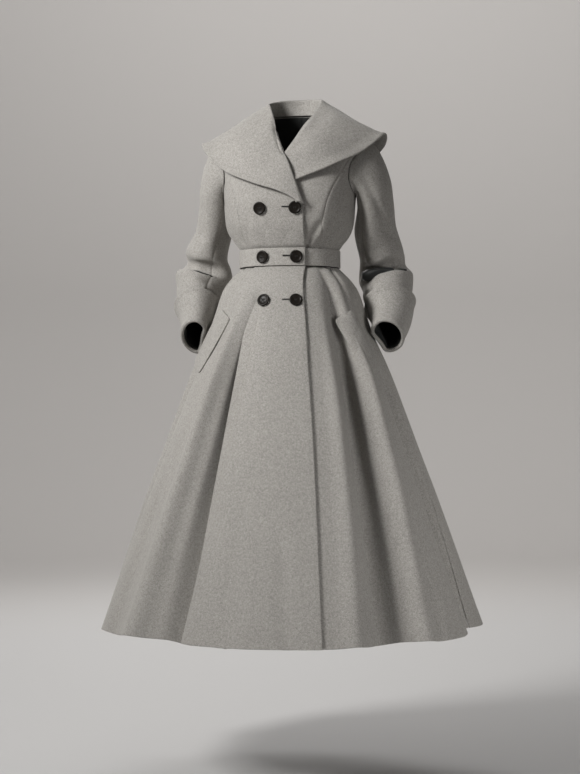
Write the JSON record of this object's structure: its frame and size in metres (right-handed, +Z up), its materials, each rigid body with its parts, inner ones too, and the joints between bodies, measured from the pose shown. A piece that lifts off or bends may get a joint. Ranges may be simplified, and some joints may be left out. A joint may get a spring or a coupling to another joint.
{
  "type": "double-breasted a-line wool coat, worn form",
  "caption": "Long double-breasted wool coat with a wide cape collar, fitted waistband, full flared skirt and turned-back cuffs, in its hollow worn form.",
  "frame": {"origin": "between the wearer's shoulders, at the height of the side of the neck", "axes": "+Z up the wearer's body, -Y to the front, +X to the wearer's left"},
  "size_m": [0.9026, 0.8354, 1.2656],
  "materials": {
    "wool": "felted wool coating, light grey melange, matt with a soft nap",
    "lining": "smooth black lining",
    "button": "polished black"
  },
  "bodies": {
    "root": {"bodice_front_right": "wool", "bodice_front_left": "wool", "bodice_side_front_right": "wool", "bodice_side_front_left": "wool", "bodice_back_right": "wool", "bodice_back_left": "wool", "waistband_front_right": "wool", "waistband_front_left": "wool", "waistband_back": "wool", "skirt_front_right": "wool", "skirt_front_left": "wool", "skirt_back_left": "wool", "skirt_back_right": "wool", "collar": "wool", "top_sleeve_right": "wool", "top_sleeve_left": "wool", "under_sleeve_right": "wool", "under_sleeve_left": "wool", "cuff_right": "wool", "cuff_left": "wool", "cuff_lining_right": "lining", "cuff_lining_left": "lining", "pocket_welt_right": "wool", "pocket_welt_left": "wool", "button_top_right": "button", "button_top_left": "button", "button_waist_right": "button", "button_waist_left": "button", "button_bottom_right": "button", "button_bottom_left": "button"}
  },
  "joints": []
}
